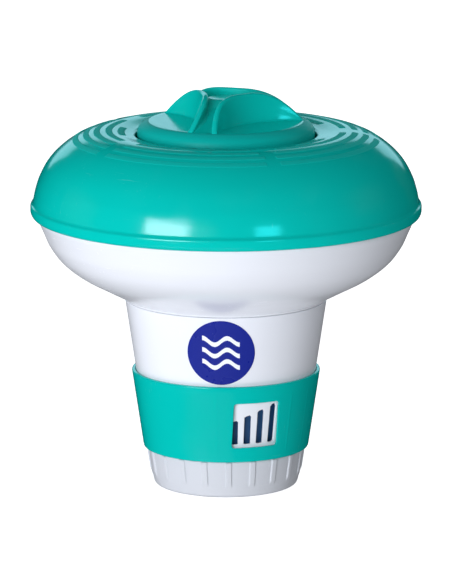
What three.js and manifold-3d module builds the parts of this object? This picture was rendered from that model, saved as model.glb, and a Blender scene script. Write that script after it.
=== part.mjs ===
// Floating chlorine dispenser: a two-shell float with a tapered dosing neck below it.
// Millimetres, +Z up. The origin is the centre of the flat underside of the base cup,
// and -Y points at the middle of the front window of the dosing collar.

import * as THREE from 'three';
import { mergeVertices } from 'three/addons/utils/BufferGeometryUtils.js';
import Module from 'manifold-3d';

const wasm = await Module();
wasm.setup();

// ---------------------------------------------------------------- driving dimensions

const gap = 0.3;                 // clearance between neighbouring pieces
const wall = 2.2;                // moulded wall of the float shells

const floatRadius = 102.5;       // widest point, the bead around the float's rim
const rimBottom = 144;           // lower edge of the top shell
const rimTop = 151.4;            // upper edge of the bead
const rimInner = 99.2;           // inside of the bead, around the bowl's rim
const domeTop = 188.8;           // highest ring of the dome
const lipTop = 187.4;            // where the dome turns down into the cap opening

const throatRadius = 47.4;       // cap opening
const skirtBottom = 172;         // lower end of the skirt under the cap opening
const skirtWall = 2.2;
const ledgeTop = 182;            // ledge that carries the cap, and locks its lugs
const ledgeBottom = 179;
const ledgeInner = 44.8;

const taper = 0.15;              // radius gained per millimetre of height on the neck
const taperFoot = 38.1;          // radius of that cone at the height of the underside
const neckBottom = 22.1;
const neckTop = 99.6;            // shoulder under the bowl
const neckWall = 1.4;
const spigotOuter = 50.2;        // upper end of the neck, inside the spout
const spigotInner = 48.4;
const spigotTop = 108;

const slotPitch = 9;             // degrees between dosing slots
const slotCount = 7;             // slots in each graded series
const slotWidth = 3.7;
const slotBottom = 30;
const slotTallest = 21;
const slotStep = 2.8;            // each slot is this much shorter than the next
const slotLast = 12.8;           // degrees from the window's middle to the tallest slot
const seriesCount = 2;           // one series behind each window

const collarBottom = 20.5;
const collarTop = 62;
const collarClearance = 0.3;     // running clearance on the neck
const collarWall = 1.95;
const collarLipInner = 39.7;     // lip trapped between the neck and the base cup
const collarLipTop = 21.8;
const collarTravel = 62;         // degrees from fully open to closed
const windowWidth = 24.7;
const windowBottom = 28.4;
const windowTop = 52.8;
const windowCorner = 1.4;

const keyAngle = 135;            // where the travel stop stands on the base cup, degrees
const keyWidth = 6;              // degrees

const baseTop = 20.2;
const baseWall = 2;
const baseFlatRadius = 35.4;
const baseProud = 0.1;           // the base cup is this much wider than the neck's cone
const ribCount = 20;
const ribWidth = 3.2;
const ribProud = 0.65;
const baseSpigotTop = 27.5;
const baseSpigotOuter = 39.3;
const baseSpigotInner = 37.7;

const basketBottom = 28.2;
const basketTop = 64;
const basketWall = 1.2;
const basketInset = 3.3;         // neck's outside to the basket's outside

const capRim = 46.4;
const capRimTop = 188.7;
const capFloor = 194;            // flat floor of the finger pockets
const capFloorRadius = 40.1;
const capThickness = 2;
const gripHeight = 15.5;         // top of the grip walls above that floor
const gripRidge = 13;            // distance of the wall tops' crest from the axis
const gripPlateau = 12.2;        // middle of the grip above the pocket floor
const gripWall = 2.2;
const scoopCentre = 59.3;        // plan circle that hollows out each finger pocket
const scoopRadius = 44.6;
const armAngles = [-8, 112, 232];

const lugWidth = 40;             // degrees
const lugNotchWidth = 48;        // degrees
const lockRingOuter = 44.4;
const lockRingInner = 40.9;
const lockRingTop = 189.3;
const lugOuter = 46.8;
const lugTop = 178.6;
const lugBottom = 175.9;

const labelRadius = 17.5;
const labelThickness = 0.4;
const labelHeight = 80.6;
const labelAngle = -113;

const ringSegments = 36;

// ---------------------------------------------------------------- helpers

const radians = THREE.MathUtils.degToRad;
const coneRadius = (z, offset = 0) => taperFoot + taper * z + offset;
const point = (r, z) => new THREE.Vector2(r, z);

/** Turns a list of [r, z] pairs into a closed body of revolution about Z. */
function revolve(profile, segments = ringSegments) {
  let points = profile.map((p) => (p.isVector2 ? p : point(...p)));
  if (THREE.ShapeUtils.area(points) < 0) points = points.reverse();
  const onAxis = points.filter((p) => p.x === 0).length;
  if (onAxis === 0) points = [...points, points[0]];
  else while (points[0].x !== 0 || points[points.length - 1].x !== 0) points.push(points.shift());
  return new THREE.LatheGeometry(points, segments).rotateX(Math.PI / 2);
}

/** Moves an outline sideways by a wall's thickness, to its left as it runs. */
function inset(points, thickness) {
  return points.map((p, i) => {
    const before = points[Math.max(i - 1, 0)];
    const after = points[Math.min(i + 1, points.length - 1)];
    const along = after.clone().sub(before).normalize();
    return point(p.x - along.y * thickness, p.y + along.x * thickness);
  });
}

function toSolid(geometry) {
  const bare = geometry.clone();
  bare.deleteAttribute('normal');
  bare.deleteAttribute('uv');
  const merged = mergeVertices(bare, 1e-4);
  const index = merged.index.array;
  const triangles = [];
  for (let i = 0; i < index.length; i += 3) {
    const [a, b, c] = [index[i], index[i + 1], index[i + 2]];
    if (a !== b && b !== c && c !== a) triangles.push(a, b, c);
  }
  return new wasm.Manifold(new wasm.Mesh({
    numProp: 3,
    vertProperties: new Float32Array(merged.attributes.position.array),
    triVerts: new Uint32Array(triangles),
  }));
}

function toGeometry(solid) {
  const mesh = solid.getMesh();
  const geometry = new THREE.BufferGeometry();
  geometry.setAttribute('position', new THREE.BufferAttribute(mesh.vertProperties, 3));
  geometry.setIndex(new THREE.BufferAttribute(mesh.triVerts, 1));
  geometry.computeVertexNormals();
  return geometry;
}

const cut = (body, tools) => tools.reduce((solid, tool) => solid.subtract(toSolid(tool)), body);
const join = (body, tools) => tools.reduce((solid, tool) => solid.add(toSolid(tool)), body);

/** An arc-shaped block between two radii, two heights and two angles in degrees. */
function ringSector(inner, outer, bottom, top, from, to) {
  const shape = new THREE.Shape();
  shape.absarc(0, 0, outer, radians(from), radians(to), false);
  shape.absarc(0, 0, inner, radians(to), radians(from), true);
  const options = { depth: top - bottom, bevelEnabled: false, curveSegments: 8 };
  return new THREE.ExtrudeGeometry(shape, options).translate(0, 0, bottom);
}

/** Pushes a face-on shape outwards from the axis, seen upright from outside at an angle. */
function radialBlock(shape, from, to, angle) {
  const options = { depth: to - from, bevelEnabled: false, curveSegments: 3 };
  return new THREE.ExtrudeGeometry(shape, options)
    .translate(0, 0, from).rotateX(Math.PI / 2).rotateZ(radians(angle + 90));
}

/** A plate whose shape lies in the radius-height plane, centred on an angle. */
function radialPlate(shape, width, angle) {
  const options = { depth: width, bevelEnabled: false, curveSegments: 4 };
  return new THREE.ExtrudeGeometry(shape, options)
    .translate(0, 0, -width / 2).rotateX(Math.PI / 2).rotateZ(radians(angle));
}

function polygon(pairs) {
  return new THREE.Shape(pairs.map(([x, y]) => point(x, y)));
}

function roundedRectangle(width, bottom, top, corner) {
  const side = width / 2;
  const shape = new THREE.Shape();
  shape.moveTo(-side + corner, bottom);
  shape.absarc(side - corner, bottom + corner, corner, -Math.PI / 2, 0, false);
  shape.absarc(side - corner, top - corner, corner, 0, Math.PI / 2, false);
  shape.absarc(-side + corner, top - corner, corner, Math.PI / 2, Math.PI, false);
  shape.absarc(-side + corner, bottom + corner, corner, Math.PI, 1.5 * Math.PI, false);
  return shape;
}

// ---------------------------------------------------------------- float

/** Teal upper half: bead, dome, cap opening, and the skirt and ledge inside the opening. */
function topFloatShell() {
  const dome = new THREE.SplineCurve([
    point(101.1, rimTop + 0.6), point(99.95, 157.4), point(97.9, 163.8), point(93.5, 172),
    point(87.6, 178.5), point(80.1, 183.9), point(71.6, 187.4), point(61.5, domeTop),
    point(49.4, lipTop),
  ]).getPoints(9);
  const underside = inset(dome, wall).filter((p) => p.x > throatRadius + skirtWall + 1);
  const skirtOuter = throatRadius + skirtWall;
  const body = toSolid(revolve([
    [rimInner, rimBottom], [100.3, rimBottom], [101.5, 145], [floatRadius, 147.4],
    [floatRadius, 149.4], [101.9, rimTop - 0.4], [101.2, rimTop],
    ...dome,
    [48, lipTop - 0.5], [throatRadius, lipTop - 1.6],
    [throatRadius, ledgeTop], [ledgeInner, ledgeTop],
    [ledgeInner, ledgeBottom], [throatRadius, ledgeBottom],
    [throatRadius, skirtBottom], [skirtOuter, skirtBottom], [skirtOuter, lipTop - 3],
    ...underside.reverse(),
    [96.2, rimTop + 0.6], [96.2, rimTop - 1.4], [rimInner, rimTop - 1.4],
  ]));
  const half = lugNotchWidth / 2;
  return toGeometry(cut(body, armAngles.map((angle) => ringSector(
    ledgeInner - 1, throatRadius - 0.1, ledgeBottom - 1, ledgeTop + 1, angle - half, angle + half,
  ))));
}

/** White lower half: the bowl, its rim inside the bead, and the spout around the neck. */
function bottomFloatShell() {
  const bowl = new THREE.SplineCurve([
    point(53.3, 100.7), point(56, 102.3), point(64.9, 107), point(77.1, 113.6),
    point(86.6, 121), point(92.6, 129), point(95.8, 136), point(98.4, 142),
  ]).getPoints(9);
  const rimOuter = rimInner - 0.4;
  const inside = inset(bowl, wall).slice(1);
  return revolve([
    [53, neckTop + gap], ...bowl, [rimOuter, 144.5], [rimOuter, 147.5],
    [rimOuter - wall, 147.5], [rimOuter - wall, 144.5],
    ...inside.reverse(), [spigotOuter + gap, 103.4], [spigotOuter + gap, neckTop + gap],
  ]);
}

/** Ring that keeps water out of the float where the shells meet at the rim. */
function rimSeal() {
  return revolve([[96.7, 147.8], [98.7, 147.8], [98.7, 149.7], [96.7, 149.7]]);
}

/** Inner wall of the float's air chamber, from the neck up to the cap opening. */
function throatTube() {
  const socketInner = throatRadius + skirtWall + 0.4;
  const shoulder = skirtBottom - 2.4;
  return revolve([
    [46.2, 98], [48, 98], [48, 110.6], [50.1, 110.6], [50.1, 112.4], [48.2, 114.2],
    [48.2, 162], [52, 166], [52, 178], [socketInner, 178], [socketInner, shoulder],
    [46.2, shoulder],
  ]);
}

function throatSeal(bottom, inner, outer, height) {
  return revolve([
    [inner, bottom], [outer, bottom], [outer, bottom + height], [inner, bottom + height],
  ]);
}

// ---------------------------------------------------------------- dosing neck and collar

/** One slot: its top edge slopes up to the right and its left corner is rounded off. */
function slotShape(height) {
  const half = slotWidth / 2;
  const top = slotBottom + height;
  const shape = new THREE.Shape();
  shape.moveTo(-half, slotBottom);
  shape.lineTo(half, slotBottom);
  shape.lineTo(half, top + 0.7);
  shape.lineTo(0.2, top + 0.1);
  shape.quadraticCurveTo(-half, top - 0.4, -half, top - 1.8);
  return shape;
}

/** White tapered tube that holds the tablets, with a graded row of slots on each side. */
function dosingNeck() {
  const body = toSolid(revolve([
    [coneRadius(neckBottom, -neckWall), neckBottom], [coneRadius(neckBottom), neckBottom],
    [coneRadius(neckTop), neckTop], [spigotOuter, neckTop], [spigotOuter, spigotTop],
    [spigotInner, spigotTop], [spigotInner, neckTop - 0.7], [coneRadius(90, -neckWall), 90],
  ]));
  const slots = [];
  for (let series = 0; series < seriesCount; series++) {
    for (let i = 0; i < slotCount; i++) {
      const angle = -90 + series * (360 / seriesCount) + slotLast - slotPitch * i;
      slots.push(radialBlock(slotShape(slotTallest - slotStep * i), 34, 52, angle));
    }
  }
  return toGeometry(cut(body, slots));
}

/** Teal ring that turns on the neck: its two windows bare more or fewer slots. */
function dosingCollar() {
  const inner = collarClearance;
  const outer = collarClearance + collarWall;
  const body = toSolid(revolve([
    [collarLipInner, collarBottom], [coneRadius(collarBottom, outer) - 0.7, collarBottom],
    [coneRadius(collarBottom, outer), collarBottom + 0.8],
    [coneRadius(collarTop - 0.7, outer), collarTop - 0.7],
    [coneRadius(collarTop, outer) - 0.5, collarTop], [coneRadius(collarTop, inner), collarTop],
    [coneRadius(collarLipTop, inner), collarLipTop], [collarLipInner, collarLipTop],
  ]));
  const opening = roundedRectangle(windowWidth, windowBottom, windowTop, windowCorner);
  const from = keyAngle - keyWidth / 2 - 1;
  const travelSlot = ringSector(
    collarLipInner - 1, coneRadius(collarLipTop, inner) - 0.4, collarBottom - 1, collarLipTop - 0.01,
    from, keyAngle + keyWidth / 2 + collarTravel + 1,
  );
  return toGeometry(cut(body, [
    radialBlock(opening, 36, 56, -90), radialBlock(opening, 36, 56, 90), travelSlot,
  ]));
}

/** White ribbed foot: closes the neck, traps the collar's lip and holds the ballast. */
function baseCup() {
  const outer = (z) => coneRadius(z, baseProud);
  const body = toSolid(revolve([
    [0, 0], [baseFlatRadius, 0], [36.9, 0.45], [37.8, 1.5], [38.5, 4.2], [outer(7), 7],
    [outer(baseTop), baseTop], [baseSpigotOuter, baseTop], [baseSpigotOuter, baseSpigotTop],
    [baseSpigotInner, baseSpigotTop], [baseSpigotInner, baseTop - 1],
    [outer(6) - baseWall, 6], [35.2, 3], [33.4, baseWall], [0, baseWall],
  ]));
  const face = (z) => outer(z) + ribProud;
  const rib = polygon([
    [37.2, 6], [outer(7), 6.4], [face(8.4) - 0.15, 8.4], [face(9.6), 9.6],
    [face(baseTop - 0.6), baseTop - 0.6], [face(baseTop) - 0.5, baseTop], [38, baseTop],
  ]);
  const ribs = [];
  for (let i = 0; i < ribCount; i++) ribs.push(radialPlate(rib, ribWidth, (i * 360) / ribCount));
  const stop = ringSector(
    baseSpigotOuter - 0.8, 40.7, baseTop - 0.5, collarLipTop - 0.4,
    keyAngle - keyWidth / 2, keyAngle + keyWidth / 2,
  );
  return toGeometry(join(body, [...ribs, stop]));
}

// ---------------------------------------------------------------- inside the neck

/** Drop-in basket: closed behind the dosing slots, open above them and in its floor. */
function tabletBasket() {
  const outer = (z) => coneRadius(z, -basketInset);
  const floorTop = basketBottom + 1.6;
  const body = toSolid(revolve([
    [0, basketBottom], [outer(basketBottom) - 0.8, basketBottom], [outer(29.2), 29.2],
    [outer(basketTop), basketTop], [outer(basketTop) - basketWall, basketTop],
    [outer(floorTop) - basketWall, floorTop], [0, floorTop],
  ]));
  const cutters = [];
  const vent = roundedRectangle(16, 54, 61, 2);
  const ventCount = 8;
  for (let i = 0; i < ventCount; i++) cutters.push(radialBlock(vent, 30, 52, (i * 360) / ventCount));
  for (const [radius, count] of [[11, 4], [26, 9]]) {
    for (let i = 0; i < count; i++) {
      const angle = (i * 2 * Math.PI) / count;
      cutters.push(new THREE.CylinderGeometry(4, 4, 6, 10).rotateX(Math.PI / 2)
        .translate(radius * Math.cos(angle), radius * Math.sin(angle), basketBottom + 0.8));
    }
  }
  return toGeometry(cut(body, cutters));
}

function ballastRing() {
  return revolve([
    [10, 2.3], [32.4, 2.3], [34.4, 4.6], [34.4, 11.4], [33.8, 12], [10.6, 12], [10, 11.4],
  ]);
}

/** Disc over the ballast, with a turned-down lip around its central drain. */
function ballastCover() {
  return revolve([
    [8, 9], [9.6, 9], [9.6, 12.3], [36.6, 12.3], [36.6, 14.3], [8, 14.3],
  ]);
}

// ---------------------------------------------------------------- cap

/** Height of the grip's wall tops above the pocket floor, at a distance from the axis. */
function gripCrest(r) {
  if (r <= gripRidge) return gripHeight;
  const reach = (r - gripRidge) / (capFloorRadius + 0.4 - gripRidge);
  return gripHeight * Math.max(1 - reach * reach, 0);
}

/** Height of the trough between two walls: a hollow ramp from the rim to the plateau. */
function gripTrough(r) {
  const flat = 9;
  if (r <= flat) return gripPlateau;
  const down = Math.min((r - flat) / (capFloorRadius - flat), 1);
  return gripPlateau * (1 - down) ** 1.35;
}

function gripProfile(height, reach, step) {
  const profile = [];
  for (let r = 0; r < reach; r += step) profile.push([r, capFloor + height(r)]);
  return profile;
}

function pocketCylinders(radius) {
  return armAngles.map((angle) => {
    const middle = radians(angle + 60);
    return new THREE.CylinderGeometry(radius, radius, 60, 45).rotateX(Math.PI / 2)
      .translate(scoopCentre * Math.cos(middle), scoopCentre * Math.sin(middle), capFloor);
  });
}

/** Teal cap: bevelled disc with a three-armed grip of thin curved walls. */
function capCover() {
  const underside = capFloor - capThickness;
  const disc = toSolid(revolve([
    [0, underside], [41.2, underside], [43, underside - 1.8], [43, 184.1], [capRim - 0.4, 184.1],
    [capRim, 184.6], [capRim, capRimTop - 0.4], [46, 190], [44.9, 191.7],
    [43.2, 193], [41.6, 193.75], [capFloorRadius, capFloor], [0, capFloor],
  ]));
  const reach = capFloorRadius + 0.4;
  const dome = toSolid(revolve([
    [0, capFloor - 1], ...gripProfile(gripCrest, reach, 4.2), [reach, capFloor],
    [reach - 0.6, capFloor - 1],
  ]));
  const above = toSolid(revolve([
    ...gripProfile(gripTrough, capFloorRadius - 1, 4.5), [capFloorRadius + 3, capFloor],
    [capFloorRadius + 3, capFloor + 30], [0, capFloor + 30],
  ]));
  const trough = cut(above, pocketCylinders(scoopRadius + gripWall));
  const grip = cut(dome, pocketCylinders(scoopRadius)).subtract(trough);
  const below = toSolid(revolve([
    [0, underside - 1],
    ...gripProfile((r) => gripTrough(r) - capThickness, 30, 5), [33, underside - 1],
  ]));
  const hollow = cut(below, pocketCylinders(scoopRadius + gripWall - 0.4));
  return toGeometry(disc.add(grip).subtract(hollow));
}

/** Ring under the cap with the three lugs that turn under the ledge of the opening. */
function capLockRing() {
  const neck = 42.7;
  const body = toSolid(revolve([
    [lockRingInner, lugBottom], [lockRingOuter, lugBottom], [lockRingOuter, ledgeTop],
    [neck, ledgeTop], [neck, lockRingTop], [lockRingInner, lockRingTop],
  ]));
  return toGeometry(join(body, armAngles.map((angle) => ringSector(
    lockRingOuter - 0.8, lugOuter, lugBottom, lugTop, angle - lugWidth / 2, angle + lugWidth / 2,
  ))));
}

function capGasket() {
  return revolve([[43.1, 182.3], [46.7, 182.3], [46.7, 183.8], [43.1, 183.8]]);
}

// ---------------------------------------------------------------- label

/** Round printed label that follows the cone of the neck. */
function label() {
  const inner = gap;
  const outer = gap + labelThickness;
  const [low, high] = [labelHeight - 20, labelHeight + 20];
  const sheet = toSolid(revolve([
    [coneRadius(low, inner), low], [coneRadius(low, outer), low],
    [coneRadius(high, outer), high], [coneRadius(high, inner), high],
  ], 2 * ringSegments));
  const disc = new THREE.Shape().absarc(0, labelHeight, labelRadius, 0, 2 * Math.PI);
  const options = { depth: 30, bevelEnabled: false, curveSegments: 14 };
  const punch = new THREE.ExtrudeGeometry(disc, options)
    .translate(0, 0, 35).rotateX(Math.PI / 2).rotateZ(radians(labelAngle + 90));
  return toGeometry(sheet.intersect(toSolid(punch)));
}

// ---------------------------------------------------------------- assembly

const teal = { color: 0x00b3a4, roughness: 0.22, metalness: 0 };
const white = { color: 0xeceef4, roughness: 0.25, metalness: 0 };
const navy = { color: 0x1b3f6b, roughness: 0.35, metalness: 0 };
const print = { color: 0x20308c, roughness: 0.3, metalness: 0 };
const rubber = { color: 0x2b2d30, roughness: 0.8, metalness: 0 };
const zinc = { color: 0x9a9da1, roughness: 0.45, metalness: 1 };

const dispenser = new THREE.Group();

function place(name, geometry, finish) {
  const mesh = new THREE.Mesh(geometry, new THREE.MeshStandardMaterial(finish));
  mesh.name = name;
  dispenser.add(mesh);
}

place('top_float_shell', topFloatShell(), teal);
place('bottom_float_shell', bottomFloatShell(), white);
place('rim_seal', rimSeal(), rubber);
place('throat_tube', throatTube(), white);
place('throat_seal_upper', throatSeal(169.9, 47.3, 49.6, 1.8), rubber);
place('throat_seal_lower', throatSeal(108.3, 48.6, 50.1, 2), rubber);
place('dosing_neck', dosingNeck(), white);
place('dosing_collar', dosingCollar(), teal);
place('base_cup', baseCup(), white);
place('ballast_ring', ballastRing(), zinc);
place('ballast_cover', ballastCover(), white);
place('tablet_basket', tabletBasket(), navy);
place('cap_cover', capCover(), teal);
place('cap_lock_ring', capLockRing(), white);
place('cap_gasket', capGasket(), rubber);
place('neck_label', label(), print);

export default dispenser;
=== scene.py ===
"""Floating chlorine dispenser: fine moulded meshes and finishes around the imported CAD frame."""

import math

import bmesh
import bpy
from bpy.props import FloatProperty, FloatVectorProperty, IntProperty, PointerProperty
from mathutils import Matrix, Vector


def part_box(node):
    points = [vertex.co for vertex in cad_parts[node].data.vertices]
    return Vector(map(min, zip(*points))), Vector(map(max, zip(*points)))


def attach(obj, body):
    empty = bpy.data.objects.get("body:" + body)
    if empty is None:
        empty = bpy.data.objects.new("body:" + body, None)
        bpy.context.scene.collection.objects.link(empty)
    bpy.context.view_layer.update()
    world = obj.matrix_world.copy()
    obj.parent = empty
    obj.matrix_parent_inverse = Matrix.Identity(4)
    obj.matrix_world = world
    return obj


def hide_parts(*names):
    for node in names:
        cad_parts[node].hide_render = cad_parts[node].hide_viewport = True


bl_info = {
    "name": "Floating Chlorine Dispenser",
    "version": (1, 0, 0),
    "blender": (4, 5, 0),
    "location": "View3D > Sidebar > Dispenser",
    "description": "Builds a floating pool chlorine dispenser piece by piece",
    "category": "Object",
}

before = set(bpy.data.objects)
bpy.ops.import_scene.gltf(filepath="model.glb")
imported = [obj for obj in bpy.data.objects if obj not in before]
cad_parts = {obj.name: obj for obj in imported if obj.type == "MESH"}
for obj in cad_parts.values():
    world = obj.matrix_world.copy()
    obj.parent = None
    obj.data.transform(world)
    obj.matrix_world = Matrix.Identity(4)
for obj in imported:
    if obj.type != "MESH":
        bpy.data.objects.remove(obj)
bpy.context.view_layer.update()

MM = 0.001
TAU = 2 * math.pi
BUMP_DEPTH = 0.0002
SHARP_ANGLE = 38


def span(node):
    """Lowest and highest corner of a CAD node, in millimetres."""
    low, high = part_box(node)
    return low / MM, high / MM


# ------------ sizes and colours


def length(name, description, millimetres):
    return FloatProperty(
        name=name, description=description, default=millimetres * MM, min=0, unit="LENGTH", precision=5
    )


def angle(name, description, degrees):
    return FloatProperty(
        name=name, description=description, default=math.radians(degrees), subtype="ANGLE"
    )


def colour(name, description, value):
    return FloatVectorProperty(
        name=name, description=description, default=value, size=3, min=0, max=1, subtype="COLOR"
    )


class DispenserSizes(bpy.types.PropertyGroup):
    """Sizes that a user would change, in scene units."""

    window_width: length("Window width", "Width of each dosing window", 24.7)
    window_bottom: length("Window bottom", "Lower edge of the dosing windows", 28.4)
    window_top: length("Window top", "Upper edge of the dosing windows", 52.8)
    slot_width: length("Slot width", "Width of each dosing slot", 3.7)
    slot_bottom: length("Slot bottom", "Lower end of the dosing slots", 30)
    slot_tallest: length("Tallest slot", "Height of the tallest dosing slot", 21)
    slot_step: length("Slot step", "How much shorter each slot is than the next", 2.8)
    slot_pitch: angle("Slot pitch", "Angle between dosing slots", 9)
    slot_last: angle("Last slot", "Angle from the window's middle to the tallest slot", 12.8)
    rib_count: IntProperty(name="Base ribs", description="Ribs round the base cup", default=20, min=3)
    rib_width: length("Rib width", "Width of each rib on the base cup", 3.2)
    label_radius: length("Label radius", "Radius of the round label", 17.5)


class DispenserColours(bpy.types.PropertyGroup):
    """Colours that a user would change."""

    teal: colour("Sea green", "Float top, collar and cap", (0.0, 0.53, 0.47))
    # Painted shade: the collar is the sea green made darker, a shaded copy of the same plastic.
    collar: colour("Collar", "The turning collar", (0.0, 0.475, 0.425))
    # Painted shade: the cap's bevel is the sea green made a fifth darker, so it reads no lighter than
    # the flat floor beside it though it faces the lamps more.
    shaded_bevel_teal: colour("Sea green edge", "Bevel round the cap", (0.0, 0.42, 0.38))
    white: colour("White", "Bowl and neck", (0.80, 0.82, 0.88))
    # Painted shade: the base cup is the white made about a quarter darker, for the shade low down near
    # the floor.
    shaded_white: colour("Grey white", "Base cup", (0.60, 0.62, 0.67))
    navy: colour("Dark blue", "Tablet basket", (0.02, 0.075, 0.19))
    label: colour("Label blue", "Ground of the round label", (0.012, 0.022, 0.26))
    rubber: colour("Rubber", "Gasket and seals", (0.02, 0.02, 0.022))
    steel: colour("Steel", "Ballast ring", (0.5, 0.5, 0.52))


# ------------ shader expressions


class Wire:
    """A node's output socket. Arithmetic on wires and numbers adds the Math nodes."""

    def __init__(self, graph, socket):
        self.graph, self.socket = graph, socket

    def math(self, operation, *values):
        node = self.graph.node("ShaderNodeMath", {"operation": operation}, values)
        return Wire(self.graph, node.outputs[0])

    def __add__(self, other):
        return self.math("ADD", self, other)

    __radd__ = __add__

    def __sub__(self, other):
        return self.math("SUBTRACT", self, other)

    def __mul__(self, other):
        return self.math("MULTIPLY", self, other)

    __rmul__ = __mul__

    def __rsub__(self, other):
        return self.math("SUBTRACT", other, self)

    def __abs__(self):
        return self.math("ABSOLUTE", self)

    def below(self, other):
        return self.math("LESS_THAN", self, other)

    def at_least(self, other):
        return self.math("MAXIMUM", self, other)

    def sine(self):
        return self.math("SINE", self)

    def ramp(self, low, high):
        """0 up to low, 1 from high on, and smooth between them."""
        node = self.graph.node(
            "ShaderNodeMapRange", {"interpolation_type": "SMOOTHSTEP"},
            {"Value": self, "From Min": low, "From Max": high},
        )
        return Wire(self.graph, node.outputs["Result"])


class Graph:
    """A material's node tree."""

    def __init__(self, name):
        self.material = bpy.data.materials.new(name)
        self.material.use_nodes = True
        self.tree = self.material.node_tree
        self.tree.nodes.clear()
        self.output = self.node("ShaderNodeOutputMaterial")
        self.surface = self.node("ShaderNodeBsdfPrincipled")
        self.tree.links.new(self.surface.outputs[0], self.output.inputs[0])

    def node(self, kind, settings=None, values=()):
        node = self.tree.nodes.new(kind)
        for key, value in (settings or {}).items():
            setattr(node, key, value)
        pairs = values.items() if isinstance(values, dict) else enumerate(values)
        for key, value in pairs:
            self.feed(node, key, value)
        return node

    def feed(self, node, key, value):
        if isinstance(value, Wire):
            self.tree.links.new(value.socket, node.inputs[key])
        else:
            node.inputs[key].default_value = value

    def wire(self, node, output=0):
        return Wire(self, node.outputs[output])

    def position(self):
        """The point on the surface in the object's own metres."""
        return self.wire(self.node("ShaderNodeTexCoord"), "Object")

    def parts(self, vector):
        node = self.node("ShaderNodeSeparateXYZ", values=[vector])
        return [self.wire(node, i) for i in range(3)]

    def scaled(self, vector, factors):
        node = self.node("ShaderNodeVectorMath", {"operation": "MULTIPLY"}, [vector, factors])
        return self.wire(node)

    def noise(self, vector, scale, detail=2.0, roughness=0.5):
        node = self.node(
            "ShaderNodeTexNoise",
            values={"Vector": vector, "Scale": scale, "Detail": detail, "Roughness": roughness},
        )
        return self.wire(node, "Fac")

    def mix(self, factor, first, second):
        """A blend of two colours."""
        node = self.node("ShaderNodeMix", {"data_type": "RGBA"})
        for socket, value in zip((0, 6, 7), (factor, first, second)):
            self.feed(node, socket, value)
        return self.wire(node, 2)

    def bump(self, height, strength, distance):
        node = self.node(
            "ShaderNodeBump", values={"Strength": strength, "Distance": distance, "Height": height}
        )
        return self.wire(node)

    def shade(self, **sockets):
        """Sets sockets of the surface shader, such as base_color or roughness."""
        for name, value in sockets.items():
            self.feed(self.surface, name.replace("_", " ").title().replace("Ior", "IOR"), value)
        return self.material


def rgba(value, gain=1.0):
    """A colour for a socket, made brighter or darker by the gain."""
    return (*(min(1.0, channel * gain) for channel in value), 1.0)


def hairlines(graph, position, along, across):
    """Fine straight scratches: 1 on a scratch and 0 between them."""
    stretched = graph.scaled(position, (across, across, along))
    return graph.noise(stretched, 1.0, 3.0, 0.6).ramp(0.66, 0.71)


def moulded_plastic(name, tone, roughness, mottle, peel, scratches, ior=1.49):
    """Glossy injection-moulded plastic: faint flow mottling, orange peel, rub marks, fine scratches."""
    graph = Graph(name)
    position = graph.position()
    flow = graph.noise(position, 14.0, 3.0, 0.55)
    rub = graph.noise(position, 55.0, 4.0, 0.6).ramp(0.5, 0.72)
    lines = hairlines(graph, position, 60.0, 900.0).at_least(hairlines(graph, position, 1100.0, 45.0))
    marks = lines * scratches * graph.noise(position, 20.0, 2.0).ramp(0.45, 0.7)
    body = graph.mix(flow, rgba(tone, 1 - mottle), rgba(tone, 1 + mottle))
    worn = graph.mix(marks * 0.35, body, rgba([0.5 + channel / 2 for channel in tone]))
    grain = graph.noise(position, 900.0, 2.0) * peel - marks * 0.6
    return graph.shade(
        base_color=worn,
        roughness=roughness + rub * 0.07 + marks * 0.25,
        normal=graph.bump(grain, 0.12, BUMP_DEPTH),
        ior=ior,
    )


def matt_strip(name, tone):
    """The spark-eroded texture of the strips on the dome, a few shades darker than the sea green:
    painted shade that keeps the rough strips from reading lighter than the gloss round them.
    """
    graph = Graph(name)
    position = graph.position()
    grain = graph.noise(position, 2600.0, 3.0, 0.7)
    coarse = graph.noise(position, 700.0, 2.0, 0.6)
    # Both ends of the mix sit below the sea green: painted shade, with random tone between them.
    body = graph.mix(coarse, rgba(tone, 0.88), rgba(tone, 0.96))
    return graph.shade(
        base_color=body,
        roughness=0.55 + coarse * 0.12,
        normal=graph.bump(grain + coarse * 0.6, 0.2, BUMP_DEPTH),
        ior=1.2,
    )


def rubber(name, tone):
    """Dull black rubber with a little pale dust."""
    graph = Graph(name)
    position = graph.position()
    dust = graph.noise(position, 120.0, 4.0, 0.6).ramp(0.5, 0.8)
    return graph.shade(
        base_color=graph.mix(dust * 0.25, rgba(tone), rgba((0.16, 0.16, 0.16))),
        roughness=0.62 + dust * 0.2,
        normal=graph.bump(graph.noise(position, 1500.0, 3.0), 0.3, BUMP_DEPTH),
    )


def plated_steel(name, tone):
    """Zinc plate, whose crystals differ in tone and gloss."""
    graph = Graph(name)
    position = graph.position()
    spangle = graph.node("ShaderNodeTexVoronoi", values={"Vector": position, "Scale": 160.0})
    cells = graph.wire(spangle, "Distance")
    return graph.shade(
        base_color=graph.mix(cells, rgba(tone, 0.85), rgba(tone, 1.1)),
        metallic=1.0,
        roughness=0.32 + cells * 0.2,
    )


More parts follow.
